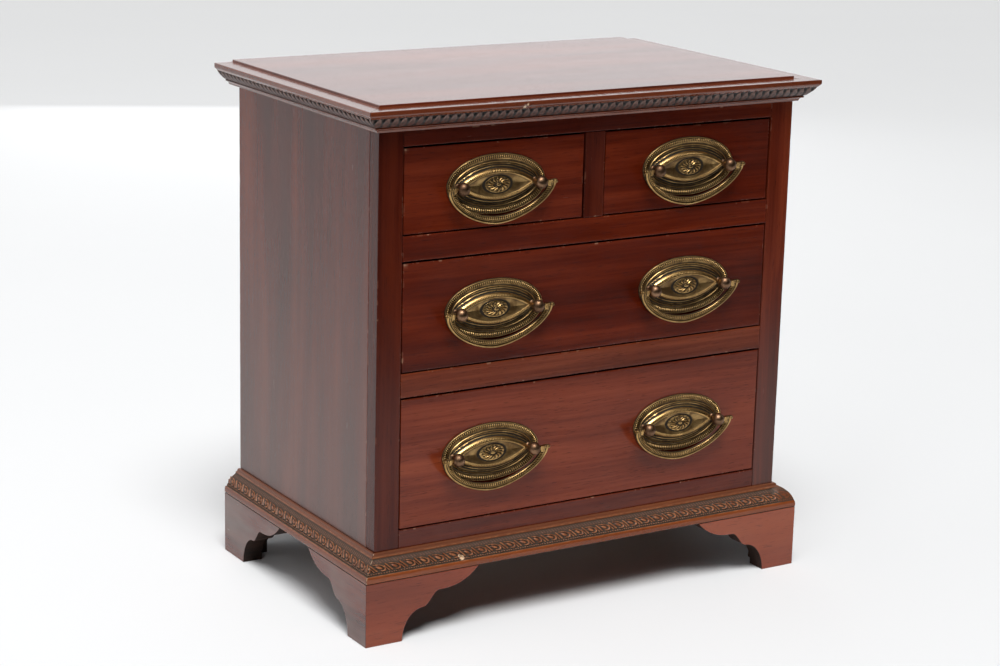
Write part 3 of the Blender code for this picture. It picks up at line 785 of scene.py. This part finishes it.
def plate_height(x, y, edge, tooth):
    """Height of the stamped plate in mm, from place and distance to the rim."""
    height = through(edge, (0.0, 0.75), (0.2, 1.2), (0.5, 1.45), (0.8, 1.4), (1.0, 1.05),
                     (1.15, 1.05), (1.4, 1.75), (1.9, 2.05), (2.5, 1.9), (3.1, 1.4), (3.6, 0.9),
                     (4.3, 0.62), (5.1, 0.62), (5.5, 0.85), (5.8, 1.25), (6.1, 1.0), (6.5, 0.55),
                     (8.0, 0.35))
    height -= 0.95 * (1 - tooth) * window(edge, 1.1, 1.4, 3.0, 3.6)
    tip, rise = DISH_HALF
    radius = (tip ** 2 + rise ** 2) / (2 * rise)
    drop = radius - rise
    beyond = np.abs(x) * drop > tip * (np.abs(y) + drop)
    inside = DISH_RIM + np.where(beyond, -np.hypot(np.abs(x) - tip, y),
                                 radius - np.hypot(x, np.abs(y) + drop))
    boss = through(inside, (-0.9, 0.0), (-0.45, 0.25), (-0.15, 0.8), (0.1, 0.85), (0.4, 0.6),
                   (0.7, 0.7), (1.2, 1.55), (1.9, 2.6), (2.7, 3.45), (3.3, 3.85), (3.8, 3.95),
                   (4.2, 3.8), (4.6, 3.35), (5.6, 2.85), (6.6, 2.45), (7.7, 2.12), (8.8, 1.9),
                   (10.0, 1.77), (12.4, 1.7))
    flute = 0.5 + 0.5 * np.cos(2 * math.pi * x / 1.3)
    boss -= 0.38 * flute * window(inside, 2.3, 2.8, 3.7, 4.1)
    reach = np.hypot(x / ROSETTE_HALF[0], y / ROSETTE_HALF[1])
    turn = np.arctan2(y / ROSETTE_HALF[1], x / ROSETTE_HALF[0])
    petal = 0.5 + 0.5 * np.cos(14 * turn + 7.0 * reach)
    rosette = through(reach, (0.0, 2.55), (0.14, 2.5), (0.22, 1.75), (0.3, 2.0), (0.5, 2.1),
                      (0.7, 1.75), (0.84, 1.0), (0.88, 0.75), (0.93, 0.8), (0.97, 0.6), (1.02, 0.0))
    rosette -= 0.75 * petal * window(reach, 0.22, 0.38, 0.72, 0.86)
    return height + boss + rosette


def plate_mesh():
    """Oval plate: rings that keep their distance from the rim, then rings that shrink inwards."""
    a, b = PLATE_HALF
    dense = np.linspace(0, 2 * math.pi, 8001)
    walk = np.concatenate([[0], np.cumsum(np.hypot(np.diff(a * np.cos(dense)),
                                                   np.diff(b * np.sin(dense))))])
    count = TOOTH_STEPS * TEETH
    angle = np.interp(np.arange(count) / count * walk[-1], walk, dense)
    rim = np.stack([a * np.cos(angle), b * np.sin(angle)], -1)
    inward = -np.stack([np.cos(angle) / a, np.sin(angle) / b], -1)
    inward /= np.linalg.norm(inward, axis=1)[:, None]
    edges = np.linspace(0, BAND_WIDTH, 44)
    shrink = np.linspace(1, 0.004, 54)[1:]
    outer = rim[None] + inward[None] * edges[:, None, None]
    inner = outer[-1][None] * shrink[:, None, None]
    flat = np.concatenate([outer, inner])
    edge = np.concatenate([np.broadcast_to(edges[:, None], (len(edges), count)),
                           np.full((len(shrink), count), BAND_WIDTH)])
    phase = np.arange(count) * 2 * math.pi / TOOTH_STEPS
    tooth = np.broadcast_to(0.5 + 0.5 * np.cos(phase), edge.shape)
    height = plate_height(flat[..., 0], flat[..., 1], edge, tooth)
    cavity, high = relief_shade(height, 4, 0.2, True)
    top = np.dstack([flat, height])
    back = np.concatenate([np.stack([flat[0], flat[0] * 0.6]), np.zeros((2, count, 1))], 2)
    vertices = np.concatenate([back[::-1], top]).reshape(-1, 3) * MM
    pad = np.zeros((2, count))
    return build_mesh("plate", vertices, tube_faces(2 + len(top), count), 70.0, {
        "cavity": np.concatenate([pad, cavity]), "ridge": np.concatenate([pad, high])})


def rings(profile, sides, turn=0.0):
    """Rings of points about Z from (radius, height) rows; a radius may vary round its ring."""
    angle = np.arange(sides) / sides * 2 * math.pi + turn
    return np.concatenate([np.stack([radius * np.cos(angle), radius * np.sin(angle),
                                     np.full(sides, z)], -1) for radius, z in profile])


BALL_RADIUS, PIVOT_REACH = 4.7, 9.3    # mm; the pivot's height over the drawer front


def post_mesh():
    """Ball head on a waisted neck and collar, with its shank through the drawer front."""
    neck, sides = 2.1, 40
    start = -math.degrees(math.acos(neck / BALL_RADIUS))
    ball = arc((0.0, PIVOT_REACH), BALL_RADIUS, start, 89.0, 30)
    profile = [(0.2, -21.0), (1.2, -20.9), (1.5, -20.5), (1.5, 0.5), (2.4, 0.6), (2.8, 1.0),
               (2.8, 1.6), (2.5, 2.1), (2.1, 2.6), (1.9, 3.2), (1.95, 4.2)] + ball
    points = rings(profile, sides)
    # Painted shade: the neck and collar are darkened near the plate, passed on as cavity
    shaded = 0.6 - 0.6 * smooth_step(points[:, 2], 1.2, 2.2)
    return build_mesh("post", points * MM, tube_faces(len(profile), sides), 45.0,
                      {"cavity": shaded})


def nut_mesh():
    """Square hand-cut nut with chamfered corners and the thread end standing through it."""
    half, low, high, sides = 3.4, -16.9, -14.3, 48
    angle = np.arange(sides) / sides * 2 * math.pi + math.pi / sides
    square = half / np.maximum(np.abs(np.cos(angle)), np.abs(np.sin(angle)))
    square = np.minimum(square, half * 1.3)
    profile = [(1.55, high), (square * 0.93, high), (square, high - 0.25), (square, low + 0.4),
               (square * 0.9, low), (1.55, low), (1.55, low - 0.2)]
    return build_mesh("nut", rings(profile, sides, math.pi / sides) * MM,
                      tube_faces(len(profile), sides, True), 35.0)


def bail_edge(shape, turn):
    """Half ring below the pivot from +X round to -X, as a superellipse."""
    half_width, drop, exponent = shape
    c, s = np.cos(turn), np.sin(turn)
    return np.stack([half_width * np.sign(c) * np.abs(c) ** (2 / exponent),
                     -drop * np.abs(s) ** (2 / exponent)], -1)


def bail_mesh():
    """Crescent bail with milled bands, square ends and stout pivot pins."""
    end_rise = 1.5
    dense = np.linspace(0, math.pi, 6001)
    middle = (bail_edge(BAIL_OUTER, dense) + bail_edge(BAIL_INNER, dense)) / 2
    walk = np.concatenate([[0], np.cumsum(np.hypot(*np.diff(middle, axis=0).T))])
    teeth = 62
    count = TOOTH_STEPS * teeth + 1
    turn = np.interp(np.linspace(0, walk[-1], count), walk, dense)
    outer, inner = bail_edge(BAIL_OUTER, turn), bail_edge(BAIL_INNER, turn)
    lug = smooth_step(-inner[:, 1], 2.6, 1.2)[:, None]
    inner = inner - np.sign(inner[:, :1]) * lug * np.array([1.0, 0.0])
    rise = np.array([[0.0, end_rise], [0.0, end_rise * 0.5]])
    outer, inner = (np.concatenate([line[:1] + rise, line, line[-1:] + rise[::-1]])
                    for line in (outer, inner))
    phase = np.arange(len(outer)) * 2 * math.pi / TOOTH_STEPS
    tooth = 0.5 + 0.5 * np.cos(phase)
    across = np.linspace(0, 1, 34)
    height = BAIL_THICKNESS / 2 * through(
        across, (0.0, 0.2), (0.05, 0.8), (0.12, 1.1), (0.28, 1.25), (0.4, 1.05), (0.45, 0.55),
        (0.5, 0.85), (0.55, 0.85), (0.6, 0.35), (0.66, 0.7), (0.76, 1.05), (0.86, 1.0),
        (0.95, 0.65), (1.0, 0.1))
    milled_band = window(across, 0.06, 0.12, 0.36, 0.42)
    plain_end = smooth_step(np.abs(np.arange(len(outer)) - len(outer) / 2), len(outer) / 2 - 14,
                            len(outer) / 2 - 22)
    milled = 0.95 * milled_band[None] * (1 - tooth[:, None])
    front = height[None] - milled * plain_end[:, None]

    def between(share):
        return inner[:, None] + (outer - inner)[:, None] * share[None, :, None]

    cavity, high = relief_shade(front, 4, 0.2, False)
    back_plane = between(np.array([0.97, 0.7, 0.3, 0.03]))
    back = np.broadcast_to(np.array([-0.9, -1.1, -1.1, -0.9]), back_plane.shape[:2])
    loop = np.concatenate([np.dstack([between(across), front]), np.dstack([back_plane, back])], 1)
    rows, columns = loop.shape[:2]
    faces = tube_faces(rows, columns, True)
    vertices = loop.reshape(-1, 3)
    pad = np.zeros((rows, 4))
    values = {"cavity": np.concatenate([cavity, pad], 1).ravel(),
              "ridge": np.concatenate([high, pad], 1).ravel()}
    for sign in (-1, 1):
        pin, pin_faces = pin_shape(sign)
        faces += [[index + len(vertices) for index in face] for face in pin_faces]
        vertices = np.concatenate([vertices, pin])
        values = {key: np.concatenate([numbers, np.zeros(len(pin))])
                  for key, numbers in values.items()}
    return build_mesh("bail", vertices * MM, faces, 60.0, values)


def pin_shape(sign):
    """Pivot pin from inside the ball's socket to a small riveted head past the bail."""
    profile = [(0.3, 32.4), (1.0, 32.6), (1.0, 40.0), (1.35, 43.2), (1.35, 43.7), (1.1, 44.0),
               (0.3, 44.1)]
    sides = 16
    points = rings(profile, sides)[:, [2, 0, 1]] * (sign, 1, 1)
    return points, tube_faces(len(profile), sides, sign < 0)


def handles(brass, ball, steel):
    """Hangs a plate, a bail, two posts and two nuts round each hinge of the frame."""
    plate, post, nut, bail = plate_mesh(), post_mesh(), nut_mesh(), bail_mesh()
    for joint in frame["joints"]:
        if joint["type"] != "hinge":
            continue
        label = joint["child"].removeprefix("bail_")
        x, y, z = joint["pos_m"]
        face_y = y + PIVOT_REACH * MM
        body = joint["parent"]
        name = f"handle_{label}"
        seat = Matrix.Translation((x, face_y - PLATE_SINK, z)) @ BRASS_FORWARD
        add_piece(f"{name}_stamped_plate", plate, brass, body, [f"{name}_plate"],
                  seat)
        swing = (Matrix.Translation((x, y, z)) @ Matrix.Rotation(BAIL_TILT, 4, "X")
                 @ BRASS_FORWARD)
        add_piece(f"{name}_milled_bail", bail, brass, joint["child"], [f"{name}_bail"],
                  swing)
        for side, sign in SIDES.items():
            spot = Matrix.Translation((x + sign * POST_X * MM, face_y, z)) @ BRASS_FORWARD
            add_piece(f"{name}_ball_{side}", post, ball, body, [f"{name}_post_{side}"],
                      spot)
            add_piece(f"{name}_nut_{side}", nut, steel, body, matrix=spot)


# Drawers ---------------------------------------------------------------------------------

DRAWER_SIDE = 7.0 * MM
TAIL_LENGTH = 9.0 * MM
SOCKET_EASE, SEAM = 0.12 * MM, 0.1 * MM
GAP_LOW, GAP_HIGH = Vector((0.35, 0.0, 0.4)) * MM, Vector((0.25, 0.0, 0.2)) * MM


def tail_outlines(low, high):
    """Dovetail tails on the front end of a drawer side: (low, high, low tip, high tip)."""
    count = 2 if high - low < 0.07 else 3
    pitch = (high - low) / count
    flare = TAIL_LENGTH / 6
    tails = []
    for k in range(count):
        start, end = low + pitch * k + pitch * 0.2, low + pitch * (k + 1) - pitch * 0.2
        tails.append((start, end, start - flare, end + flare))
    return tails


def extruded(name, outline, low_x, high_x, sharp=30.0):
    """A flat (y, z) outline between two x planes, its faces turned outward."""
    following = outline[1:] + outline[:1]
    if sum(y0 * z1 - y1 * z0 for (y0, z0), (y1, z1) in zip(outline, following)) < 0:
        outline = outline[::-1]
    count = len(outline)
    vertices = [(low_x, y, z) for y, z in outline] + [(high_x, y, z) for y, z in outline]
    faces = [list(range(count))[::-1], list(range(count, 2 * count))]
    faces += [[k, (k + 1) % count, (k + 1) % count + count, k + count] for k in range(count)]
    return build_mesh(name, vertices, faces, sharp)


def side_outline(front_back, rear, low, high):
    """Side board with its tails reaching forward into the drawer front."""
    points = []
    for start, end, tip_low, tip_high in tail_outlines(low, high):
        points += [(front_back, start), (front_back - TAIL_LENGTH, tip_low),
                   (front_back - TAIL_LENGTH, tip_high), (front_back, end)]
    return [(front_back, low)] + points + [(front_back, high), (rear, high), (rear, low)]


def cut_tails(item, cutters):
    """Cuts the cutters out of a piece for good and removes them."""
    for cutter in cutters:
        step = item.modifiers.new("socket", "BOOLEAN")
        step.object = cutter
        step.operation = "DIFFERENCE"
        step.solver = "EXACT"
    evaluated = item.evaluated_get(bpy.context.evaluated_depsgraph_get())
    mesh = bpy.data.meshes.new_from_object(evaluated)
    item.modifiers.clear()
    item.data = mesh
    for cutter in cutters:
        bpy.data.objects.remove(cutter, do_unlink=True)


def drawer(label, woods, seed, nicks):
    """Front board, dovetailed box and bottom; nicks are (right, down) of its top left corner, mm."""
    name = f"drawer_{label}"
    front_low, front_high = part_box(f"{name}_front")
    front_low += GAP_LOW
    front_high -= GAP_HIGH
    box_low, box_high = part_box(f"{name}_box")
    corner = Vector((front_low.x, front_low.y, front_high.z))
    dents = [(corner + Vector((right, 0.0, -down)) * MM, 0.8 * MM, 0.3 * MM)
             for right, down in nicks]
    mesh = worn_board(f"{name}_front_board", front_low, front_high, cell=2.2 * MM, seed=seed,
                      dents=dents)
    shoulder = front_high.y
    rear = box_high.y
    walls = {"left": (front_low.x, front_low.x + DRAWER_SIDE),
             "right": (front_high.x - DRAWER_SIDE, front_high.x)}
    cutters = []
    for side, (x0, x1) in walls.items():
        for start, end, tip_low, tip_high in tail_outlines(box_low.z, box_high.z):
            tip = shoulder - TAIL_LENGTH - SOCKET_EASE
            outline = [(shoulder + MM, start), (tip, tip_low - SOCKET_EASE),
                       (tip, tip_high + SOCKET_EASE), (shoulder + MM, end)]
            wide = ((x0 - MM, x1 + SOCKET_EASE) if side == "left"
                    else (x0 - SOCKET_EASE, x1 + MM))
            cutters.append(add_object("cutter", extruded("cutter", outline, *wide)))
    front = add_object(f"{name}_front_board", mesh)
    mesh.materials.append(woods["front"])
    cut_tails(front, cutters)
    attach(front, name)
    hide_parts(f"{name}_front")
    for side, (x0, x1) in walls.items():
        outline = side_outline(shoulder + SEAM, rear, box_low.z, box_high.z)
        board = extruded(f"{name}_side_{side}", outline, x0 + SEAM, x1 - SEAM)
        nodes = [f"{name}_box"] if side == "left" else []
        item = add_piece(f"{name}_side_{side}", board, woods["length"], name, nodes)
        soften(item)
    inner = (walls["left"][1] + SEAM, walls["right"][0] - SEAM)
    back = worn_board(f"{name}_back", (inner[0], rear - DRAWER_SIDE, box_low.z),
                      (inner[1], rear, box_high.z - 2 * MM), cell=4 * MM, wear=0.2 * MM,
                      seed=seed + 50)
    add_piece(f"{name}_back", back, woods["width"], name)
    repaint(f"{name}_bottom", woods["width"])


# Stage -----------------------------------------------------------------------------------

def plane(name, corners, material):
    mesh = bpy.data.meshes.new(name)
    mesh.from_pydata(corners, [], [(0, 1, 2, 3)])
    mesh.materials.append(material)
    item = add_object(name, mesh)
    return item


FLOOR_REACH = 25.0
FLAG_HALF, FLAG_NEAR, FLAG_FAR, FLAG_TOP = 3, -0.66, -0.66 - 0.6, 2.6
# Size, power, direction towards the light, place
AREA_LIGHTS = {"overhead": (2.6, 18.0, (-0.25, -0.1, 1.0), (-0.5, 0.0, 2.0)),
               "rear": (1.0, 3.2, (0.45, 1.0, 0.16), (0.8, 1.9, 0.55)),
               "window": (0.7, 5.6, (-0.7, -0.45, 0.52), (-1.9, -1.2, 1.55))}


def studio():
    """Pale floor, surroundings and lights.

    A leaning black card in front shows only in reflections; the rear light does not."""
    reach = FLOOR_REACH
    plane("studio_floor", [(-reach, -reach, 0), (reach, -reach, 0), (reach, reach, 0),
                           (-reach, reach, 0)], paper_floor())
    black = Graph("black_flag").finish((0.004, 0.004, 0.004), 1.0, specular=0.0)
    flag = plane("flag", [(-FLAG_HALF, FLAG_NEAR, 0.002), (FLAG_HALF, FLAG_NEAR, 0.002),
                          (FLAG_HALF, FLAG_FAR, FLAG_TOP), (-FLAG_HALF, FLAG_FAR, FLAG_TOP)],
                 black)
    flag.visible_camera = False
    flag.visible_diffuse = False
    flag.visible_shadow = False
    surroundings()

    sun = bpy.data.lights.new("key", "SUN")
    sun.energy = 3.0
    sun.angle = math.radians(28)
    sun.color = (1.0, 0.985, 0.965)
    hang_light("key", sun, (-0.17, -0.4, 0.9))
    for name, (size, power, towards, place) in AREA_LIGHTS.items():
        area = bpy.data.lights.new(name, "AREA")
        area.shape = "SQUARE"
        area.size = size
        area.energy = power
        hang_light(name, area, towards, place).visible_glossy = name != "rear"


def surroundings():
    """World that is white behind the chest and nearly black in front, unseen by diffuse rays."""
    g = Graph("studio", owners=bpy.data.worlds)
    backward = g.node("SeparateXYZ", {0: g.direction}).outputs["Y"]
    strength = g.band(backward, -0.2, 0.3, 0.02, 1.12)
    shade = g.node("Background", {"Color": (0.97, 0.985, 1.0), "Strength": strength})
    g.node("OutputWorld", {"Surface": shade.outputs[0]})
    bpy.context.scene.world = g.owner
    g.owner.cycles_visibility.diffuse = False


def hang_light(name, light, towards, place=(0.0, 0.0, 0.0)):
    """Hangs a light, unseen by the camera, so that it shines from that direction."""
    lamp = add_object(name, light)
    lamp.location = place
    lamp.visible_camera = False
    lamp.rotation_mode = "QUATERNION"
    lamp.rotation_quaternion = Vector(towards).to_track_quat("Z", "Y")
    return lamp


CAMERA_PLACE = (-0.93336, -1.50068, 0.63514)
CAMERA_RIGHT = (0.85456226, -0.51878877, 0.02411565)
CAMERA_UP = (0.1104343, 0.22689047, 0.96763887)
LENS_MM, SENSOR_MM = 87.102, 36.0


def camera():
    """Camera of the reference view: its place, its aim and its lens."""
    right, up = Vector(CAMERA_RIGHT), Vector(CAMERA_UP)
    lens = bpy.data.cameras.new("camera")
    lens.lens, lens.sensor_width = LENS_MM, SENSOR_MM
    lens.clip_start, lens.clip_end = 0.05, 100.0
    item = add_object("camera", lens)
    turn = Matrix((right, up, right.cross(up))).transposed()
    item.matrix_world = Matrix.Translation(CAMERA_PLACE) @ turn.to_4x4()
    bpy.context.scene.camera = item


# The chest -------------------------------------------------------------------------------

def carcase():
    """Boards, feet and mouldings, each in a mahogany of its own tone; lighter tones and haze low
    down are painted floor light.
    """
    dark = ((0.027, 0.0028, 0.0009), (0.057, 0.0062, 0.0017), (0.098, 0.0135, 0.0038))
    brown = ((0.045, 0.0052, 0.0016), (0.105, 0.013, 0.0037), (0.18, 0.03, 0.009))
    rosy = ((0.075, 0.011, 0.004), (0.16, 0.027, 0.01), (0.25, 0.052, 0.021))
    # Painted floor light: lighter tones for the middle rail, low on the front
    floor_lit_tones = ((0.062, 0.0095, 0.0033), (0.135, 0.024, 0.0082), (0.215, 0.048, 0.0165))
    uprights = {"left": polished_mahogany("stile_left", 2, (0.4, 1.1, 0.2), dark),
                "right": polished_mahogany("stile_right", 2, (1.4, 0.1, 3.2), brown, shine=0.3,
                                            painted_floor_light=0.13)}
    sides = polished_mahogany("side", 2, (2.3, 0.7, 0.9), brown, haze=0.04, contrast=0.65,
                              fine=0.15, shine=0.42, painted_floor_light=0.3)
    rails = polished_mahogany("rail", 0, (1.3, 0.2, 3.7))
    top = polished_mahogany("top", 0, (5.3, 0.9, 2.7), rosy, haze=0.1, gloss=0.11,
                            contrast=0.55, shine=0.75)
    for side in SIDES:
        board_for(f"stile_{side}", uprights[side], seed=3)
        board_for(f"side_{side}", sides, seed=5, cell=4 * MM)
    low_rails = polished_mahogany("low_rail", 0, (2.3, 1.2, 0.7), floor_lit_tones)
    sill = polished_mahogany("sill", 0, (4.3, 2.2, 0.1), brown, haze=0.06)
    for node, wood in (("rail_top", rails), ("rail_upper", rails), ("rail_middle", low_rails),
                       ("rail_bottom", sill), ("drawer_divider", uprights["left"])):
        board_for(node, wood, seed=8)
    board_for("top_board", top, radius=0.3 * MM, seed=11, wear=0.08 * MM, cell=3 * MM)
    length = secondary_wood("back_wood", 0, (0.2, 0.4, 0.1))
    board_for("back_panel", length, "secondary_wood", seed=13, cell=5 * MM)
    for k, node in enumerate(("dust_board_upper", "dust_board_middle", "bottom_board")):
        repaint(node, secondary_wood(f"{node}_wood", 0, (0.3 * k, 0.7, 0.9)))
    # Painted floor light: the foot fronts take the lighter tones below, and the foot sides a heavy
    # dusty haze
    bright = ((0.115, 0.02, 0.0078), (0.22, 0.042, 0.0165), (0.315, 0.074, 0.03))
    foot_woods = {"x": polished_mahogany("foot_x", 0, (7.1, 0.3, 1.9), bright,
                                        haze=0.05, contrast=0.4, fine=0.2, shine=0.42),
                  "y": polished_mahogany("foot_y", 1, (4.1, 2.3, 0.9), brown, haze=0.6, shine=0.55),
                  "block": painted_shade_wood("block_wood", 2), "shaded_edges": painted_shade_wood("sawn_edges", 0)}
    feet(foot_woods)
    shaded = {axis: carved_mahogany(f"cornice_{axis}", k, ((0.085, 0.017, 0.0065),
                                                          (0.19, 0.044, 0.016)),
                                    (0.22, 0.11, 0.072), (0.014, 0.008, 0.006), 0.45, 0.75)
              for k, axis in enumerate("xy")}
    carved = {axis: carved_mahogany(f"base_{axis}", k, ((0.115, 0.025, 0.008),
                                                       (0.26, 0.068, 0.02)),
                                    (0.4, 0.165, 0.07), (0.044, 0.024, 0.013), 0.1, 0.38)
              for k, axis in enumerate("xy")}
    moulding_set("cornice", cornice_section(), tongue_relief, 1.6, TOP_REAR_Y, TONGUE_PITCH, shaded,
                 {"front": [(-68.0, 12.4, 1.2, 0.9), (-66.0, 14.2, 0.8, 0.5)]})
    moulding_set("base_moulding", base_section(), scroll_relief, 1.4, BACK_Y, SCROLL_PITCH, carved,
                 {"front": [(-109.0, 7.0, 2.0, 1.6), (-110.6, 8.4, 1.2, 1.0)]}, 4.0, 0.75)


def drawers():
    # Painted floor light: the lower drawer takes lighter tones than the drawers above it
    floor_lit_tones = ((0.074, 0.0098, 0.0033), (0.16, 0.0245, 0.008), (0.255, 0.05, 0.0168))
    lower = polished_mahogany("drawer_lower", 0, (0.9, 5.1, 0.3), floor_lit_tones, haze=0.03, contrast=0.65)
    upper = polished_mahogany("drawer_upper", 0, (3.9, 1.1, 2.3))
    short = polished_mahogany("drawer_short", 0, (6.9, 2.1, 4.3))
    length = secondary_wood("drawer_side_wood", 1, (1.9, 0.2, 0.7))
    width = secondary_wood("drawer_bottom_wood", 0, (2.9, 1.2, 0.1))
    fronts = {"short_left": short, "short_right": short, "upper": upper, "lower": lower}
    nicks = {"short_left": ((0.8, 0.8),), "upper": ((1.2, 0.9),)}
    for k, (label, wood) in enumerate(fronts.items()):
        drawer(label, {"front": wood, "length": length, "width": width}, 20 + k,
               nicks.get(label, ()))


carcase()
drawers()
handles(aged_brass("brass_aged", (0.54, 0.345, 0.135), (0.18, 0.1, 0.036)),
        aged_brass("brass_ball", (0.29, 0.17, 0.098), (0.14, 0.078, 0.045), 0.34),
        aged_brass("brass_nut", (0.3, 0.22, 0.11), (0.12, 0.08, 0.04), 0.4))
studio()
camera()
bpy.context.scene.view_settings.view_transform = "Standard"
